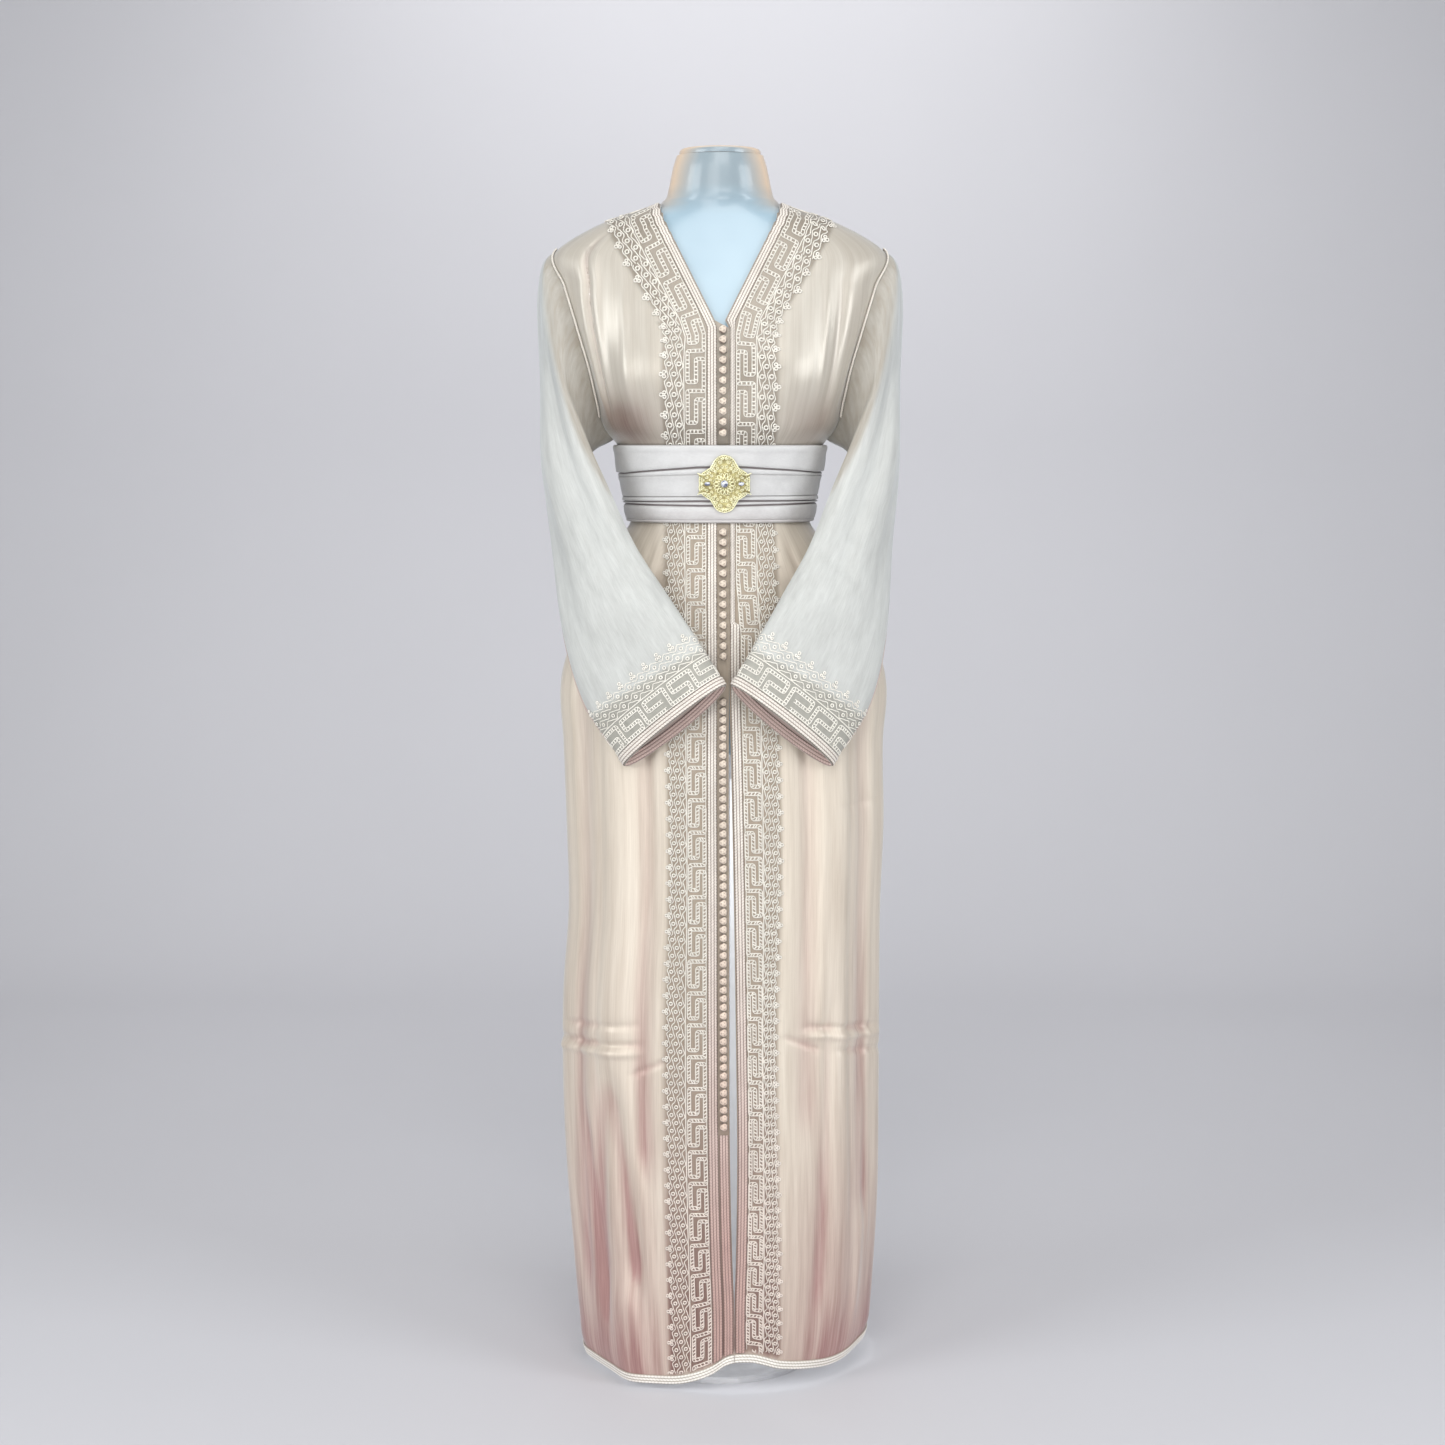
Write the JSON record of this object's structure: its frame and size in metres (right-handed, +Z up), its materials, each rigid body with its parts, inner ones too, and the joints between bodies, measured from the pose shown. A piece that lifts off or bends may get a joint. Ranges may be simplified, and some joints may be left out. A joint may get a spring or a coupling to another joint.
{
  "type": "takchita robe on a limbless dress form with a stand",
  "caption": "Long satin robe with a deep V neck, buttoned front, wide pleated belt with a gilt clasp and wide sleeves that meet in front, on a limbless dress form with a round stand.",
  "frame": {"origin": "centre of the stand's base, on the floor", "axes": "+Z up, the robe's front faces -Y, the wearer's left side is +X"},
  "size_m": [0.4502, 0.3295, 1.5238],
  "materials": {
    "satin": "satin",
    "sleeve_satin": "satin",
    "belt_satin": "satin",
    "braid": "matte",
    "buttons": "matte",
    "gilt": "polished",
    "stone": "clear",
    "form": "gloss",
    "steel": "brushed"
  },
  "bodies": {
    "root": {"front_right": "satin", "front_left": "satin", "back": "satin", "sleeve_right": "sleeve_satin", "sleeve_left": "sleeve_satin", "belt": "belt_satin", "brooch_plate": "gilt", "brooch_rosette": "gilt", "brooch_stone": "stone", "brooch_stone_right": "stone", "brooch_stone_left": "stone", "braid_front_right": "braid", "braid_front_left": "braid", "braid_neck_back": "braid", "braid_hem_front_right": "braid", "braid_hem_front_left": "braid", "braid_hem_back": "braid", "braid_cuff_right": "braid", "braid_cuff_left": "braid", "cord_armhole_right": "braid", "cord_armhole_left": "braid", "buttons_chest": "buttons", "buttons_waist": "buttons", "buttons_skirt": "buttons", "form_torso": "form", "form_neck_cap": "form", "stand_pole": "steel", "stand_base": "steel"}
  },
  "joints": []
}
